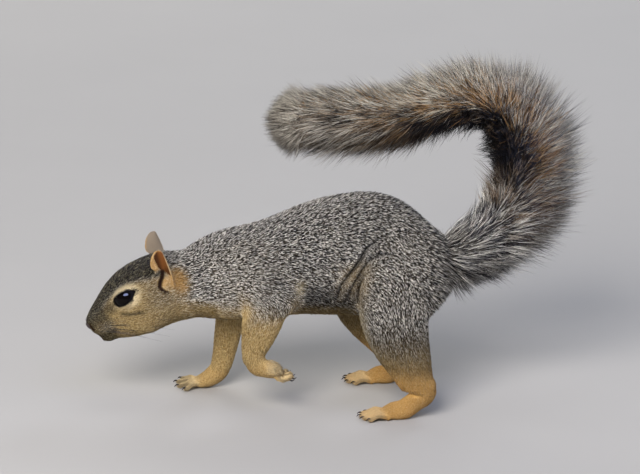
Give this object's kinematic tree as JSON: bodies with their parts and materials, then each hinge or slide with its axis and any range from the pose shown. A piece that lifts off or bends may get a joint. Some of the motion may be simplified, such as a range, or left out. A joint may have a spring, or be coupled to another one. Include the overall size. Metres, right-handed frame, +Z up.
{
  "type": "grey-backed fox squirrel model",
  "caption": "Life-size still tree squirrel walking on three feet, one forepaw lifted, head low, bushy tail arched forward over its back.",
  "frame": {"origin": "on the floor, under the middle of the animal's bounding box", "axes": "+Z up, the nose towards -Y and the tail's bend towards +Y, the animal's left side towards +X"},
  "size_m": [0.0942, 0.3312, 0.2389],
  "materials": {
    "grey_coat": "short fur, silver and black flecks over buff",
    "tail_coat": "long loose fur in black and tawny bands with silver tips",
    "head_coat": "very short fur, olive flecks over tawny",
    "tawny_coat": "very short buff to orange fur",
    "ear_coat": "thin skin under fine tawny down",
    "eye": "wet gloss, near black"
  },
  "bodies": {
    "root": {"head": "head_coat", "neck": "grey_coat", "trunk": "grey_coat", "foreleg_left": "grey_coat", "foreleg_right": "grey_coat", "hindleg_left": "grey_coat", "hindleg_right": "grey_coat", "forepaw_left": "tawny_coat", "forepaw_right": "tawny_coat", "hindfoot_left": "tawny_coat", "hindfoot_right": "tawny_coat", "ear_left": "ear_coat", "ear_right": "ear_coat", "eye_left": "eye", "eye_right": "eye", "tail_base": "tail_coat", "tail_rise": "tail_coat", "tail_bend": "tail_coat", "tail_arch": "tail_coat", "tail_tip": "tail_coat"}
  },
  "joints": []
}
